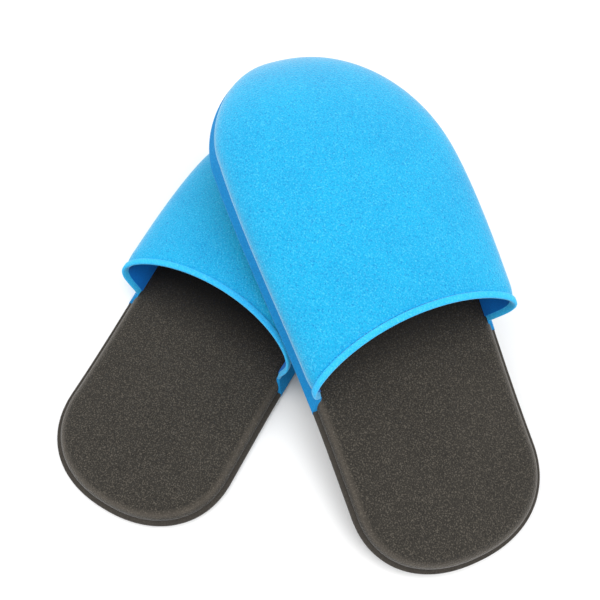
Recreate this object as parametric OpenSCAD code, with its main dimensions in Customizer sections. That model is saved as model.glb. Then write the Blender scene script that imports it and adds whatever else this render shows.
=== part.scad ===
// A pair of closed-toe foam slippers: the right one lies across the left one.
// Millimetres, +Z up. The left slipper stands flat with its heel towards -Y.

/* [Sole] */
// Length from heel to toe
slipper_length = 280; // [250:1:340]
// Half of the heel's width
heel_half = 49.9; // [40:0.1:58]
// Widest half on the little-toe side
outer_half = 62; // [52:0.1:75]
// Widest half on the big-toe side
inner_half = 56.4; // [48:0.1:68]
// Length of the rounded heel
heel_round = 40.1; // [32:0.1:52]
// Length of the rounded toe on the little-toe side
outer_toe_round = 91.3; // [75:0.1:120]
// Length of the rounded toe on the big-toe side
inner_toe_round = 54.7; // [45:0.1:72]
// Distance from the heel at which the little-toe side starts to widen
outer_flare = 11.4; // [0:0.1:60]
// Distance from the heel at which the big-toe side starts to widen
inner_flare = 73.8; // [50:0.1:125]
// How far the toe's tip sits towards the big-toe side
toe_shift = 6.7; // [0:0.1:10]
// Thickness of the outsole
outsole_thickness = 2.4; // [1.5:0.1:5]
// Thickness of the footbed
footbed_thickness = 6.1; // [4:0.1:14]
// Radius of the footbed's top edge
footbed_round = 2.4; // [1:0.1:3.6]
// How far the sole's sides lean in on their way up
side_lean = 3.4; // [0:0.1:4]

/* [Upper] */
// Length of the upper from the toe to the middle of its throat
vamp_length = 162.9; // [130:0.1:180]
// Length of the upper from the toe to the ends of its throat
side_length = 179.3; // [160:0.1:205]
// How far the throat's little-toe end sits forwards, and its big-toe end back
throat_skew = 3.4; // [0:0.1:6]
// Height of the upper above the footbed
dome_height = 37.1; // [30:0.1:60]
// How far the side walls belly out
dome_bulge = 11.8; // [6:0.1:14]
// Thickness of the upper's foam
foam_thickness = 1.8; // [1:0.1:3]
// Thickness of the lining
lining_thickness = 0.8; // [0.5:0.1:1.5]
// Width of the hem along the throat
hem_width = 3.2; // [2:0.1:6]
// How far the hem stands out of the upper and the lining
hem_rise = 0.2; // [0.1:0.1:1]
// Thickness of the side band
band_thickness = 1.8; // [1:0.1:3]
// How far the band's lower edge runs on past the throat
band_tail = 5; // [0:0.1:12]
// Step from the outsole's rim in to the side band
rim_step = 0.4; // [0.2:0.1:1]
// Gap between the side band and the footbed
band_gap = 0.5; // [0.4:0.1:1]

/* [Crossing] */
// Angle from the left slipper to the right one
cross_angle = 49.2; // [40:0.1:60]
// Sideways distance from the left heel to the right heel
cross_x = 171.8; // [160:0.1:190]
// Lengthways distance from the left heel to the right heel
cross_y = 64.7; // [50:0.1:80]
// Direction in which the right sole climbs, off its own length
climb_turn = 8.7; // [5:0.1:16]
// Gap between the right outsole and the left upper
rest_gap = 0.5; // [0.4:0.1:2]

/* [Hidden] */

// Roundness of the heel, of the two sides of the toe, and of the dome
heel_power = 2.2;
outer_toe_power = 2.16;
inner_toe_power = 1.8;
crest_power = 4;
crest_fall = 1.3;
wall_power = 0.6;
throat_power = 2.49;
// The dome's last ring stops this far short of the very tip
tip_margin = 0.3;
// How fast the side walls' belly fades where the dome comes down to the toe
belly_fade = 2.5;
// Points of the left dome count as under the right sole up to this far outside it
reach = 4;

sole_points = 36;
dome_rows = 17;
dome_columns = 24;
round_steps = 3;

sole_top = outsole_thickness + footbed_thickness;
sole_lip = rim_step + band_thickness + band_gap;
throat_y = slipper_length - side_length;
arch_y = slipper_length - vamp_length;
outer_ball = slipper_length - outer_toe_round;
inner_ball = slipper_length - inner_toe_round;
dome_depth = rim_step + side_lean;
shell_depth = dome_depth + foam_thickness;
lining_depth = shell_depth + lining_thickness;

function ease(s) = s * s * (3 - 2 * s);
function power_arc(s, p) = pow(max(0, 1 - pow(min(1, max(0, s)), p)), 1 / p);

// Half widths of the outline, drawn in by k, at distance y from the heel
function half_width(y, k, half, ball, flare, toe_power, tip) =
    y < ball
        ? (heel_half - k + (half - heel_half) * ease(max(0, (y - flare) / (ball - flare))))
            * (y < heel_round ? power_arc((heel_round - y) / (heel_round - k), heel_power) : 1)
    : tip + (half - k - tip) * power_arc((y - ball) / (slipper_length - k - ball), toe_power);
function outer_x(y, k) =
    half_width(y, k, outer_half, outer_ball, outer_flare, outer_toe_power, -toe_shift);
function inner_x(y, k) =
    -half_width(y, k, inner_half, inner_ball, inner_flare, inner_toe_power, toe_shift);

// Distances that crowd towards both ends, and towards the far end only
function spread(a, b, i, n) = a + (b - a) * (1 - cos(180 * i / n)) / 2;
function crowd(a, b, i, n) = a + (b - a) * sin(90 * i / n);

function ring(k) = concat(
    [for (i = [0 : sole_points])
        let (y = spread(k, slipper_length - k, i, sole_points)) [outer_x(y, k), y]],
    [for (i = [sole_points - 1 : -1 : 1])
        let (y = spread(k, slipper_length - k, i, sole_points)) [inner_x(y, k), y]]
);
function lift(points, z) = [for (p = points) [p[0], p[1], z]];
function joined(lists) = [for (a = lists, b = a) b];

// Two triangles for each cell of a grid of rows x columns that starts at point s
function cells(s, rows, columns, flip) = [
    for (i = [0 : rows - 2], j = [0 : columns - 2])
        let (
            a = s + i * columns + j,
            b = a + 1,
            c = a + columns,
            d = c + 1
        )
        each flip ? [[a, b, d], [a, d, c]] : [[a, d, b], [a, c, d]]
];
// A strip between two rows of points, given as lists of indices
function strip(p, q, flip) = [
    for (i = [0 : len(p) - 2])
        each flip
            ? [[p[i], q[i + 1], p[i + 1]], [p[i], q[i], q[i + 1]]]
            : [[p[i], p[i + 1], q[i + 1]], [p[i], q[i + 1], q[i]]]
];

// The dome at distance y and angle a over the foot, drawn in by k
function crest(y, k) =
    let (s = min(1, max(0, (y - arch_y) / (slipper_length - k - arch_y))))
    (dome_height - k) * pow(1 - pow(s, crest_power), 1 / crest_fall);
function dome(y, a, k) =
    let (
        right = outer_x(y, k),
        left = inner_x(y, k),
        h = crest(y, k),
        belly = dome_bulge * abs(sin(2 * a)) * pow(h / (dome_height - k), belly_fade)
    )
    [
        (right + left) / 2 + (right - left) / 2 * cos(a) + sign(cos(a)) * belly,
        y,
        sole_top + h * pow(max(0, sin(a)), wall_power)
    ];
function throat(a) =
    throat_y + (arch_y - throat_y) * pow(max(0, sin(a)), throat_power) + throat_skew * cos(a);
function angle(j) = 180 * j / dome_columns;
function dome_grid(k, from, to_tip, rows) = [
    for (i = [0 : rows - 1], j = [0 : dome_columns])
        let (
            start = throat(angle(j)) + from,
            end = to_tip ? slipper_length - tip_margin - k : throat(angle(j)) + hem_width
        )
        dome(to_tip ? crowd(start, end, i, rows - 1) : start + (end - start) * i / (rows - 1),
            angle(j), k)
];
// A shell between the dome drawn in by k0 and the dome drawn in by k1
module dome_shell(k0, k1, from, to_tip, rows) {
    columns = dome_columns + 1;
    size = rows * columns;
    front = [for (j = [0 : columns - 1]) j];
    back = [for (j = [0 : columns - 1]) size - columns + j];
    near_edge = [for (i = [0 : rows - 1]) i * columns];
    far_edge = [for (i = [0 : rows - 1]) i * columns + columns - 1];
    polyhedron(
        points = concat(
            dome_grid(k0, from, to_tip, rows),
            dome_grid(k1, from, to_tip, rows)
        ),
        faces = concat(
            cells(0, rows, columns, true),
            cells(size, rows, columns, false),
            strip(front, [for (n = front) n + size], true),
            strip(back, [for (n = back) n + size], false),
            strip(near_edge, [for (n = near_edge) n + size], false),
            strip(far_edge, [for (n = far_edge) n + size], true)
        )
    );
}

// One slipper's pieces, drawn as the right one with its heel at the origin
module outsole() {
    linear_extrude(outsole_thickness) polygon(ring(0));
}
module footbed() {
    levels = concat(
        [[outsole_thickness, sole_lip]],
        [for (i = [0 : round_steps])
            let (a = 90 * i / round_steps)
            [
                sole_top - footbed_round * (1 - sin(a)),
                sole_lip + side_lean * (1 - footbed_round / footbed_thickness)
                    + footbed_round * (1 - cos(a))
            ]]
    );
    count = 2 * sole_points;
    top = len(levels) - 1;
    polyhedron(
        points = joined([for (v = levels) lift(ring(v[1]), v[0])]),
        faces = concat(
            [[for (i = [0 : count - 1]) i]],
            [[for (i = [count - 1 : -1 : 0]) top * count + i]],
            [for (r = [0 : top - 1], i = [0 : count - 1])
                let (
                    a = r * count + i,
                    b = r * count + (i + 1) % count
                )
                each [[a, a + count, b + count], [a, b + count, b]]]
        )
    );
}
// The band's path round the toe, from one throat end to the other
function band_path(k, start) = concat(
    [for (i = [0 : sole_points])
        let (y = crowd(start + throat_skew, slipper_length - k, i, sole_points))
            [outer_x(y, k), y]],
    [for (i = [sole_points - 1 : -1 : 0])
        let (y = crowd(start - throat_skew, slipper_length - k, i, sole_points))
            [inner_x(y, k), y]]
);
module side_band() {
    k0 = rim_step;
    k1 = rim_step + band_thickness;
    count = 2 * sole_points + 1;
    corners = [
        lift(band_path(k0, throat_y - band_tail), outsole_thickness),
        lift(band_path(k0 + side_lean, throat_y), sole_top),
        lift(band_path(k1 + side_lean, throat_y), sole_top),
        lift(band_path(k1, throat_y - band_tail), outsole_thickness)
    ];
    rows = [for (c = [0 : 3]) [for (i = [0 : count - 1]) c * count + i]];
    polyhedron(
        points = joined(corners),
        faces = concat(
            [for (c = [0 : 3]) each strip(rows[c], rows[(c + 1) % 4], true)],
            [[3 * count, 2 * count, count, 0]],
            [[count - 1, 2 * count - 1, 3 * count - 1, 4 * count - 1]]
        )
    );
}
module upper() {
    dome_shell(dome_depth, shell_depth, hem_width, true, dome_rows);
}
module lining() {
    dome_shell(shell_depth, lining_depth, hem_width, true, dome_rows);
}
module throat_hem() {
    dome_shell(dome_depth - hem_rise, lining_depth + hem_rise, 0, false, 3);
}

// The right sole climbs just enough to clear the left dome
function turned(p, a) = [p[0] * cos(a) - p[1] * sin(a), p[0] * sin(a) + p[1] * cos(a)];
climb_way = [-sin(climb_turn), cos(climb_turn)];
pivot = min([for (p = ring(0)) p * climb_way]);
function over_sole(p) =
    p[1] > 0 && p[1] < slipper_length
    && p[0] < outer_x(p[1], -reach) && p[0] > inner_x(p[1], -reach);
left_dome = [
    for (p = concat(
        dome_grid(dome_depth, hem_width, true, dome_rows),
        dome_grid(dome_depth - hem_rise, 0, false, 2)
    ))
        let (q = turned([-p[0] - cross_x, p[1] - cross_y], -cross_angle)) [q[0], q[1], p[2]]
];
climb = atan(max([
    for (q = left_dome)
        if (over_sole(q)) (q[2] + rest_gap) / ([q[0], q[1]] * climb_way - pivot)
]));

module left_place() {
    translate([0, -slipper_length / 2, 0]) mirror([1, 0, 0]) children();
}
module right_place() {
    translate([cross_x, cross_y - slipper_length / 2, 0])
    rotate(cross_angle)
    rotate(climb_turn)
    translate([0, pivot, 0])
    rotate([climb, 0, 0])
    translate([0, -pivot, 0])
    rotate(-climb_turn)
    children();
}

module left_outsole() { color("#2e2b29") left_place() outsole(); }
module left_footbed() { color("#423d38") left_place() footbed(); }
module left_side_band() { color("#1f86d2") left_place() side_band(); }
module left_upper() { color("#3fb4f2") left_place() upper(); }
module left_lining() { color("#0a76cc") left_place() lining(); }
module left_throat_hem() { color("#6fcdfa") left_place() throat_hem(); }
module right_outsole() { color("#2e2b29") right_place() outsole(); }
module right_footbed() { color("#423d38") right_place() footbed(); }
module right_side_band() { color("#1f86d2") right_place() side_band(); }
module right_upper() { color("#3fb4f2") right_place() upper(); }
module right_lining() { color("#0a76cc") right_place() lining(); }
module right_throat_hem() { color("#6fcdfa") right_place() throat_hem(); }

left_outsole();
left_footbed();
left_side_band();
left_upper();
left_lining();
left_throat_hem();
right_outsole();
right_footbed();
right_side_band();
right_upper();
right_lining();
right_throat_hem();
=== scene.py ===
import math
import bpy
from mathutils import Matrix, Vector


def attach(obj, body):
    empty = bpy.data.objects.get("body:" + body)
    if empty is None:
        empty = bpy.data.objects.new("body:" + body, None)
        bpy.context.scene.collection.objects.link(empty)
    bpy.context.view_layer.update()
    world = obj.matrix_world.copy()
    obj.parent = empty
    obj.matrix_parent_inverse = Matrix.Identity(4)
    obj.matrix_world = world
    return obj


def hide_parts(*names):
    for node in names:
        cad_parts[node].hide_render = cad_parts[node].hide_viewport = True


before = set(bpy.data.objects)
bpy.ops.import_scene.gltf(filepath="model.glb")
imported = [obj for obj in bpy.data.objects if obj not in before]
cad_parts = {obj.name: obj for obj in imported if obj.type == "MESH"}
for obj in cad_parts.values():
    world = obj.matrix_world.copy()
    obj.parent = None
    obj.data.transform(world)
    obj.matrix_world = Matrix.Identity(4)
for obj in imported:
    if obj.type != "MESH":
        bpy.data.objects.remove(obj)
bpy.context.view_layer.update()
print("frame loaded")

mm = 0.001

# The shape that both slippers share, in millimetres; the left one is its mirror image
last = {
    "length": 280, "heelHalf": 49.9, "outerHalf": 62, "innerHalf": 56.4,
    "heelRound": 40.1, "outerToe": 91.3, "innerToe": 54.7, "outerFlare": 11.4, "innerFlare": 73.8,
    "toeShift": 6.7, "heelPower": 2.2, "outerPower": 2.16, "innerPower": 1.8,
    "outsole": 2.4, "soleTop": 8.5, "lip": 2.3, "rim": 0.4, "lean": 3.4,
}
vamp = {
    "throat": 100.7, "arch": 117.1, "archPower": 2.49, "skew": 3.4,
    "height": 37.1, "belly": 11.8, "bellyFade": 2.5, "crestPower": 4, "crestFall": 1.3, "wallPower": 0.6,
    "foam": 1.8, "lining": 0.8, "hemWidth": 3.2, "hemRise": 0.2, "bandTail": 5, "band": 1.8,
}
# Soft dents of the upper: two waves along it, each with a twist round the arch, in radians
dents = {"depth": 0.5, "shortWave": 17, "shortTwist": 2.2, "longWave": 29, "longTwist": 1.3}
# Where the right slipper lies: its heel, its turn, and how its sole climbs the left upper.
# The climb and its pivot repeat what the part's source works out from its rest gap
crossing = {"x": 171.8, "y": 64.7, "turn": 49.2, "climbTurn": 8.7, "climb": 15.6196, "pivot": -0.98306}


def powerArc(s, p):
    s = min(1.0, max(0.0, s))
    return max(0.0, 1 - s ** p) ** (1 / p)


def halfWidth(y, k, half, toe, flare, power, tip):
    ball = last["length"] - toe
    heel = last["heelHalf"] - k
    if y < ball:
        s = max(0.0, (y - flare) / (ball - flare))
        wide = heel + (half - last["heelHalf"]) * s * s * (3 - 2 * s)
        return wide * powerArc((last["heelRound"] - y) / (last["heelRound"] - k), last["heelPower"])
    return tip + (half - k - tip) * powerArc((y - ball) / (last["length"] - k - ball), power)


def outerX(y, k):
    return halfWidth(y, k, last["outerHalf"], last["outerToe"], last["outerFlare"],
                     last["outerPower"], -last["toeShift"])


def innerX(y, k):
    return -halfWidth(y, k, last["innerHalf"], last["innerToe"], last["innerFlare"],
                      last["innerPower"], last["toeShift"])


def ringPoint(t, k):
    # once round the outline: t runs 0 to 1 from the heel up the outer side and back
    edgeX = outerX if t < 0.5 else innerX
    turn = math.pi * (2 * t if t < 0.5 else 2 - 2 * t)
    y = k + (last["length"] - 2 * k) * (1 - math.cos(turn)) / 2
    return edgeX(y, k), y


def throatY(a):
    arch = (vamp["arch"] - vamp["throat"]) * max(0.0, math.sin(a)) ** vamp["archPower"]
    return vamp["throat"] + arch + vamp["skew"] * math.cos(a)


def domePoint(y, a, k):
    s = min(1.0, max(0.0, (y - vamp["arch"]) / (last["length"] - k - vamp["arch"])))
    h = (vamp["height"] - k) * (1 - s ** vamp["crestPower"]) ** (1 / vamp["crestFall"])
    right, left = outerX(y, k), innerX(y, k)
    belly = vamp["belly"] * abs(math.sin(2 * a)) * (h / (vamp["height"] - k)) ** vamp["bellyFade"]
    sideways = math.cos(a)
    # the same dents through every layer, none at the foot of the walls or at the toe
    wave = math.sin(y / dents["shortWave"] + dents["shortTwist"] * a)
    wave *= math.sin(y / dents["longWave"] - dents["longTwist"] * a)
    dent = dents["depth"] * wave * math.sin(a) ** 2 * h / vamp["height"]
    x = (right + left) / 2 + (right - left) / 2 * sideways + math.copysign(belly, sideways)
    return x, y, last["soleTop"] + h * max(0.0, math.sin(a)) ** vamp["wallPower"] - abs(dent)


def placed(side, x, y, z):
    if side == "left":
        return Vector((-x, y - last["length"] / 2, z)) * mm
    p = Matrix.Rotation(math.radians(-crossing["climbTurn"]), 3, "Z") @ Vector((x, y, z))
    p.y -= crossing["pivot"]
    p = Matrix.Rotation(math.radians(crossing["climb"]), 3, "X") @ p
    p.y += crossing["pivot"]
    p = Matrix.Rotation(math.radians(crossing["climbTurn"] + crossing["turn"]), 3, "Z") @ p
    return (p + Vector((crossing["x"], crossing["y"] - last["length"] / 2, 0))) * mm


def sheetOf(name, side, columns, rows, shape, paint=None):
    # a grid whose points are moved to shape(u, v), u and v from 0 to 1; paint(u, v) gives their UV
    bpy.ops.object.select_all(action="DESELECT")
    bpy.ops.mesh.primitive_grid_add(x_subdivisions=columns, y_subdivisions=rows, size=2, location=(0, 0, 0))
    piece = bpy.context.object
    piece.name = name
    piece.data.name = name
    spots = [((v.co.x + 1) / 2, (v.co.y + 1) / 2) for v in piece.data.vertices]
    if paint:
        for loop, spot in zip(piece.data.loops, piece.data.uv_layers.active.data):
            spot.uv = paint(*spots[loop.vertex_index])
    for v, spot in zip(piece.data.vertices, spots):
        v.co = placed(side, *shape(*spot))
    return piece


def closeUp(piece):
    # weld the sheet's meeting edges, cap its open ends, and smooth all but the sharp turns
    weld, sharpAngle = 0.02 * mm, 50
    bpy.ops.object.mode_set(mode="EDIT")
    bpy.ops.mesh.select_all(action="SELECT")
    bpy.ops.mesh.remove_doubles(threshold=weld)
    bpy.ops.mesh.select_all(action="DESELECT")
    bpy.ops.mesh.select_mode(type="VERT")
    bpy.ops.mesh.select_non_manifold(extend=False, use_wire=False, use_multi_face=False,
                                     use_non_contiguous=False, use_verts=False)
    bpy.ops.mesh.fill_holes(sides=0)
    bpy.ops.mesh.select_all(action="SELECT")
    bpy.ops.mesh.normals_make_consistent(inside=False)
    bpy.ops.object.mode_set(mode="OBJECT")
    bpy.ops.object.shade_smooth_by_angle(angle=math.radians(sharpAngle))


def finishPiece(piece, side, node, material):
    piece.data.materials.clear()
    piece.data.materials.append(material)
    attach(piece, side + "_slipper")
    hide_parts(side + "_" + node)


class Wire:
    # a socket that takes part in sums; each sum adds its Math node
    def __init__(self, shader, socket):
        self.shader = shader
        self.socket = socket

    def _math(self, operation, a, b):
        return self.shader.node("ShaderNodeMath", {"operation": operation}, {0: a, 1: b})

    def __add__(self, other):
        return self._math("ADD", self, other)

    def __radd__(self, other):
        return self._math("ADD", other, self)

    def __mul__(self, other):
        return self._math("MULTIPLY", self, other)

    def __rmul__(self, other):
        return self._math("MULTIPLY", other, self)


class Shader:
    # a material with a Principled shader, and short ways to add nodes to it
    def __init__(self, name):
        self.material = bpy.data.materials.new(name)
        self.material.use_nodes = True
        self.tree = self.material.node_tree
        self.tree.nodes.clear()
        self.bsdf = self.tree.nodes.new("ShaderNodeBsdfPrincipled")
        out = self.tree.nodes.new("ShaderNodeOutputMaterial")
        self.tree.links.new(self.bsdf.outputs[0], out.inputs["Surface"])

    def node(self, kind, settings=None, values=None, output=0):
        made = self.tree.nodes.new(kind)
        for key, value in (settings or {}).items():
            setattr(made, key, value)
        for key, value in (values or {}).items():
            if isinstance(value, Wire):
                self.tree.links.new(value.socket, made.inputs[key])
            else:
                made.inputs[key].default_value = value
        return Wire(self, made.outputs[output])

    def set(self, name, value):
        if isinstance(value, Wire):
            self.tree.links.new(value.socket, self.bsdf.inputs[name])
        else:
            self.bsdf.inputs[name].default_value = value

    def mix(self, factor, a, b):
        return self.node("ShaderNodeMix", {"data_type": "RGBA"}, {0: factor, 6: a, 7: b}, output=2)

    def ramp(self, value, low, high):
        return self.node("ShaderNodeMapRange", {"clamp": True}, {0: value, 1: low, 2: high, 3: 0.0, 4: 1.0})


def colour(r, g, b):
    # from screen values, 0 to 255, to the linear ones that a shader takes
    def linear(c):
        c = c / 255
        return c / 12.92 if c <= 0.04045 else ((c + 0.055) / 1.055) ** 2.4
    return linear(r), linear(g), linear(b), 1.0


blueFoam = {
    "pale": (84, 202, 240), "main": (18, 169, 218), "deep": (2, 121, 188),
    "grain": 1200, "bump": 0.8, "speck": 0.75,
}
soleFoam = {
    "pale": (118, 111, 100), "main": (51, 48, 43), "deep": (18, 16, 14),
    "grain": 1250, "bump": 1.0, "speck": 0.6,
}
# The footbed's painted highlight along its rounded rim starts and stops over shares of the painted width,
# and its painted shade towards the toe, under the upper, starts over shares of the length
footbedLightAndShade = {
    "edge": (118, 109, 98), "highlightStart": (0.15, 0.24), "highlightStop": (0.42, 0.27), "highlightAmount": 0.25,
    "paintedShade": (16, 15, 15), "paintedShadeStart": (0.345, 0.44), "paintedShadeAmount": 0.85,
}
# What all foams share: cells and specks against the grain's scale, and where each mask starts and is full
foamLook = {
    "cellScale": 0.8, "speckScale": 1.25, "speckMask": (0.5, 0.8), "darkMask": (0.5, 0.24),
    "darkAmount": 0.75, "cloudScale": 38.0, "cloudMask": (0.3, 0.7), "cloudAmount": 0.2,
    "grainHeight": 0.6, "cellHeight": 0.5, "bumpDepth": 0.4 * mm,
    "rough": 0.85, "roughMask": (0.2, 0.8), "roughSpread": 0.1, "sheenRough": 0.4, "shine": 0.25,
}


def foamMaterial(name, tint, sheen, footbed=None):
    look = foamLook
    s = Shader(name)
    where = s.node("ShaderNodeTexCoord", output=3)

    def noise(scale, detail, roughness):
        return s.node("ShaderNodeTexNoise", {"noise_dimensions": "3D"},
                      {"Vector": where, "Scale": scale, "Detail": detail, "Roughness": roughness})

    grain = noise(tint["grain"], 1.5, 0.5)
    cells = s.node("ShaderNodeTexVoronoi", {"feature": "F1"},
                   {"Vector": where, "Scale": tint["grain"] * look["cellScale"], "Randomness": 1.0})
    cloud = noise(look["cloudScale"], 3.0, 0.55)
    speck = noise(tint["grain"] * look["speckScale"], 1.0, 0.5)
    paleSpot = s.ramp(speck, *look["speckMask"])
    darkSpot = s.ramp(grain, *look["darkMask"])
    main, deep, pale = colour(*tint["main"]), colour(*tint["deep"]), colour(*tint["pale"])
    base = s.mix(s.ramp(cloud, *look["cloudMask"]) * look["cloudAmount"], main, deep)
    base = s.mix(darkSpot * look["darkAmount"], base, deep)
    base = s.mix(paleSpot * tint["speck"], base, pale)
    if footbed:
        # the UV holds the inset from the rim and the way along from the heel
        spot = s.node("ShaderNodeTexCoord", output=2)
        inset = s.node("ShaderNodeSeparateXYZ", None, {0: spot}, output=0)
        along = s.node("ShaderNodeSeparateXYZ", None, {0: spot}, output=1)
        # a painted highlight on the footbed's rounded rim, where the light catches it
        paintedHighlight = s.ramp(inset, *footbed["highlightStart"]) * s.ramp(inset, *footbed["highlightStop"])
        base = s.mix(paintedHighlight * footbed["highlightAmount"], base, colour(*footbed["edge"]))
        # painted shade on the footbed towards the toe, where the upper shades it
        paintedShade = s.ramp(along, *footbed["paintedShadeStart"])
        base = s.mix(paintedShade * footbed["paintedShadeAmount"], base, colour(*footbed["paintedShade"]))
    height = grain * look["grainHeight"] + cells * look["cellHeight"]
    bump = s.node("ShaderNodeBump", None,
                  {"Strength": tint["bump"], "Distance": look["bumpDepth"], "Height": height})
    s.set("Base Color", base)
    s.set("Roughness", s.ramp(grain, *look["roughMask"]) * look["roughSpread"] + look["rough"])
    s.set("Normal", bump)
    s.set("Sheen Weight", sheen)
    s.set("Sheen Roughness", look["sheenRough"])
    s.set("Specular IOR Level", look["shine"])
    return s.material


hemTint = dict(blueFoam, pale=(96, 210, 250), main=(48, 186, 242), deep=(20, 158, 226), bump=0.35)
# the side band's deeper blue is partly its own tone and mostly painted shade for a side that faces away from
# the light
shadedBandTint = dict(blueFoam, pale=(44, 156, 214), main=(14, 134, 198), deep=(4, 114, 180))
# the lining's deeper blue copies the upper's shaded inside: partly the lining's own colour, partly painted
# shade
shadedKnitTint = dict(blueFoam, pale=(10, 128, 214), main=(0, 114, 202), deep=(0, 98, 186), grain=1400, bump=0.15)
outsoleTint = dict(soleFoam, pale=(86, 80, 73), main=(62, 58, 53), deep=(42, 39, 36), bump=0.4)
upperFoam = foamMaterial("upperFoam", blueFoam, sheen=0.6)
hemFoam = foamMaterial("hemFoam", hemTint, sheen=0.3)
shadedBandFoam = foamMaterial("shadedBandFoam", shadedBandTint, sheen=0.1)
shadedLiningKnit = foamMaterial("shadedLiningKnit", shadedKnitTint, sheen=0.1)
footbedFoam = foamMaterial("footbedFoam", soleFoam, sheen=0.3, footbed=footbedLightAndShade)
outsoleFoam = foamMaterial("outsoleFoam", outsoleTint, sheen=0.1)
print("materials made")

# How finely each piece is made, and the small measures that only the looks have; edge is a rounding
soleDetail = {
    "around": 260, "edge": 0.35, "flat": 6, "core": 0.1, "spineHeel": 46.0, "spineToe": 58.0,
    "tuck": 1, "footRise": 0.2, "roundWidth": 7.2, "roundSteps": 14, "paintWidth": 16,
    "fill": (0.86, 0.7, 0.5, 0.3, 0.12, 0.0),
}
sideBandDetail = {
    "along": 240, "edge": 0.45, "lap": 1.5, "lapOut": 0.32, "lapEdge": 0.1, "lapStep": 0.12, "lapTurn": 0.3,
    "clear": 0.04, "bow": 0.1, "bowFoot": 1.6, "bowTop": 2.4,
}
shellDetail = {"across": 112, "along": 92, "gap": 0.2, "liningGap": -0.2, "fold": 0.9, "foldLength": 1 / 60}
hemDetail = {
    "across": 150, "edge": 0.5, "rim": 1.6, "middleThin": 0.5, "backThin": 0.2, "endFold": 0.5, "taper": 0.6,
}
# The middle point of a rounded edge, as a share of the rounding
bend = 0.3
# How far the foam's and the lining's outsides lie inside the sole's outline
domeDepth = last["rim"] + last["lean"]
foamDepth = domeDepth + vamp["foam"]


def solePoint(u, k, share):
    # on the outline at inset k, or drawn in to a share of its way from the sole's middle line
    x, y = ringPoint(u % 1, k)
    if share == 1:
        return x, y
    spineY = min(last["length"] - soleDetail["spineToe"], max(soleDetail["spineHeel"], y))
    spineX = (outerX(spineY, 0) + innerX(spineY, 0)) / 2
    return spineX + (x - spineX) * share, spineY + (y - spineY) * share


def soleSheet(name, side, profile, paint=None):
    # a section carried once round the sole; each of its points is an inset, a height and a share of
    # the way from the middle line
    def shape(u, v):
        k, z, share = profile[round(v * (len(profile) - 1))]
        x, y = solePoint(u, k, share)
        return x, y, z

    return sheetOf(name, side, soleDetail["around"], len(profile) - 1, shape, paint)


def makeOutsole(side):
    d = soleDetail
    t, e = last["outsole"], d["edge"]
    profile = [(d["flat"], 0, d["core"]), (d["flat"], 0, 1),
               (e, 0, 1), (e * bend, e * bend, 1), (0, e, 1),
               (0, t - e, 1), (e * bend, t - e * bend, 1), (e, t, 1),
               (d["flat"], t, 1), (d["flat"], t, d["core"])]
    piece = soleSheet(side + "OutsoleSheet", side, profile)
    closeUp(piece)
    finishPiece(piece, side, "outsole", outsoleFoam)


def makeFootbed(side):
    d = soleDetail
    low, top = last["outsole"] + d["footRise"], last["soleTop"]
    profile = [(last["lip"] + d["tuck"], last["outsole"], 1)]
    for i in range(d["roundSteps"] + 1):
        a = math.pi / 2 * i / d["roundSteps"]
        inset = last["lip"] + d["roundWidth"] * (1 - math.cos(a))
        profile.append((inset, low + (top - low) * math.sin(a), 1))
    profile += [(inset, top, share) for share in d["fill"]]

    # the UV places the painted highlight along the rim and the painted shade towards the toe
    def paint(u, v):
        k, _, share = profile[round(v * (len(profile) - 1))]
        fromRim = k / d["paintWidth"] if share == 1 else 1
        return fromRim, solePoint(u, k, share)[1] / last["length"]

    piece = soleSheet(side + "FootbedPad", side, profile, paint)
    closeUp(piece)
    finishPiece(piece, side, "footbed", footbedFoam)


def makeSideBand(side):
    d = sideBandDetail
    low, high, e = last["outsole"], last["soleTop"], d["edge"]
    k0, k1 = last["rim"], last["rim"] + vamp["band"]
    foot, out, edge, turn = low - d["lap"], -d["lapOut"], d["lapEdge"], d["lapTurn"]
    # a thin edge of the strip laps down over the outsole's rim, and its outside bows a little
    profile = [(out + edge, foot), (out, foot + edge * 2.5), (out, low - turn),
               (out + d["lapStep"], low + turn),
               (k0 - d["bow"], low + d["bowFoot"]), (k0 - d["bow"], high - d["bowTop"]), (k0, high - e),
               (k0 + e * bend, high - e * bend), (k0 + e, high), (k1, high), (k1, low),
               (-d["clear"], low), (-d["clear"], foot + edge), (out + edge, foot)]

    def shape(u, v):
        k, z = profile[round(v * (len(profile) - 1))]
        k += last["lean"] * max(0.0, z - low) / (high - low)
        skew = vamp["skew"] if u < 0.5 else -vamp["skew"]
        start = vamp["throat"] + skew - vamp["bandTail"] * (high - z) / (high - low)
        s = 1 - abs(2 * u - 1)
        y = start + (last["length"] - k - start) * math.sin(math.pi / 2 * s)
        edgeX = outerX if u < 0.5 else innerX
        return edgeX(y, k), y, z

    piece = sheetOf(side + "RandStrip", side, d["along"], len(profile) - 1, shape)
    closeUp(piece)
    finishPiece(piece, side, "side_band", shadedBandFoam)


def makeShell(side, name, node, k0, k1, material, gap, fold):
    # one sheet: forward along the outside at inset k0, round the toe end, and back inside at inset k1
    n = shellDetail["along"]
    rows = 2 * n + 2

    def shape(u, v):
        i = round(v * rows) % rows
        outside = i <= n
        s = i / n if outside else (rows - 1 - i) / n
        a = math.pi * u
        k = k0 if outside else k1
        begin = throatY(a) + vamp["hemWidth"] + gap
        if outside:
            # the foam's edge dips into a crease behind the hem
            k += fold * max(0.0, 1 - s / shellDetail["foldLength"])
        return domePoint(begin + (last["length"] - k - begin) * math.sin(math.pi / 2 * s), a, k)

    piece = sheetOf(side + name, side, shellDetail["across"], rows, shape)
    closeUp(piece)
    finishPiece(piece, side, node, material)


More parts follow.
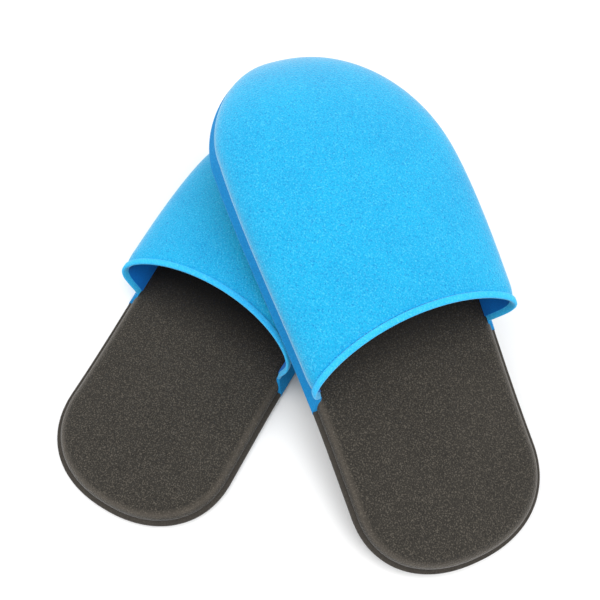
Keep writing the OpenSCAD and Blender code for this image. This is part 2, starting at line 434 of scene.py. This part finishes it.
def makeHem(side):
    d = hemDetail
    k0 = domeDepth - vamp["hemRise"]
    k1 = domeDepth + vamp["foam"] + vamp["lining"] + vamp["hemRise"]
    w, e, inner = vamp["hemWidth"], d["edge"], k0 + d["rim"]
    # flat outside, a narrow rim with a rounder corner, and inside it thickens towards the lining
    profile = [(w, k0 + e), (w - e * bend, k0 + e * bend), (w - e, k0), (e * 2, k0),
               (e, k0 + e * 0.15), (e * 0.3, k0 + e * 0.6), (0, k0 + e * 1.4), (0, inner - e * 0.6),
               (e * 0.5, inner), (w * 0.5, k1 - d["middleThin"]), (w, k1 - d["backThin"]), (w, k0 + e)]

    def shape(u, v):
        along, k = profile[round(v * (len(profile) - 1))]
        a = math.pi * u
        # the inner fold thins out towards the two ends
        fold = min(1.0, d["endFold"] + math.sin(a) / d["taper"])
        k = min(k, inner) + max(0.0, k - inner) * fold
        return domePoint(throatY(a) + along, a, k)

    piece = sheetOf(side + "ThroatHem", side, d["across"], len(profile) - 1, shape)
    closeUp(piece)
    finishPiece(piece, side, "throat_hem", hemFoam)


for side in ("left", "right"):
    makeOutsole(side)
    makeFootbed(side)
    makeSideBand(side)
    makeShell(side, "UpperShell", "upper", domeDepth, foamDepth, upperFoam,
              shellDetail["gap"], shellDetail["fold"])
    makeShell(side, "UpperLining", "lining", foamDepth, foamDepth + vamp["lining"],
              shadedLiningKnit, shellDetail["liningGap"], 0.0)
    makeHem(side)
    print(side, "slipper made")

# Floor, lights and camera, in metres and degrees, the lens and sensor in millimetres
studio = {
    "target": (0.0317, 0.0089, 0), "turn": 27.955, "elevation": 63.046, "distance": 0.320125,
    "lens": 32.155, "sensor": 36, "clipStart": 0.01,
    "floorSize": 8, "floorShade": 0.92, "floorRough": 0.9, "sky": 0.8,
}
lamps = {
    "keyPanel": {"where": (0.6, 0.05, 1.05), "size": 0.9, "power": 7},
    "fillPanel": {"where": (-0.75, -0.1, 0.95), "size": 1.2, "power": 6},
}

bpy.ops.object.select_all(action="DESELECT")
bpy.ops.mesh.primitive_plane_add(size=studio["floorSize"], location=(0, 0, 0))
floor = bpy.context.object
floor.name = "floor"
paper = Shader("paleFloor")
paper.set("Base Color", (*[studio["floorShade"]] * 3, 1))
paper.set("Roughness", studio["floorRough"])
floor.data.materials.append(paper.material)

for name, panel in lamps.items():
    bpy.ops.object.light_add(type="AREA", location=panel["where"])
    lamp = bpy.context.object
    lamp.name = name
    lamp.data.size = panel["size"]
    lamp.data.energy = panel["power"]
    lamp.rotation_euler = (-Vector(panel["where"])).to_track_quat("-Z", "Y").to_euler()

world = bpy.data.worlds.new("studioWorld")
world.use_nodes = True
background = world.node_tree.nodes["Background"]
background.inputs["Color"].default_value = (1, 1, 1, 1)
background.inputs["Strength"].default_value = studio["sky"]
bpy.context.scene.world = world
bpy.context.scene.view_settings.view_transform = "Standard"

turn, rise = math.radians(studio["turn"]), math.radians(studio["elevation"])
aim = Vector((-math.sin(turn) * math.cos(rise), math.cos(turn) * math.cos(rise), -math.sin(rise)))
target = Vector(studio["target"])
bpy.ops.object.camera_add(location=target - aim * studio["distance"])
camera = bpy.context.object
camera.rotation_euler = aim.to_track_quat("-Z", "Y").to_euler()
camera.data.lens = studio["lens"]
camera.data.sensor_width = studio["sensor"]
camera.data.clip_start = studio["clipStart"]
bpy.context.scene.camera = camera
print("studio made")
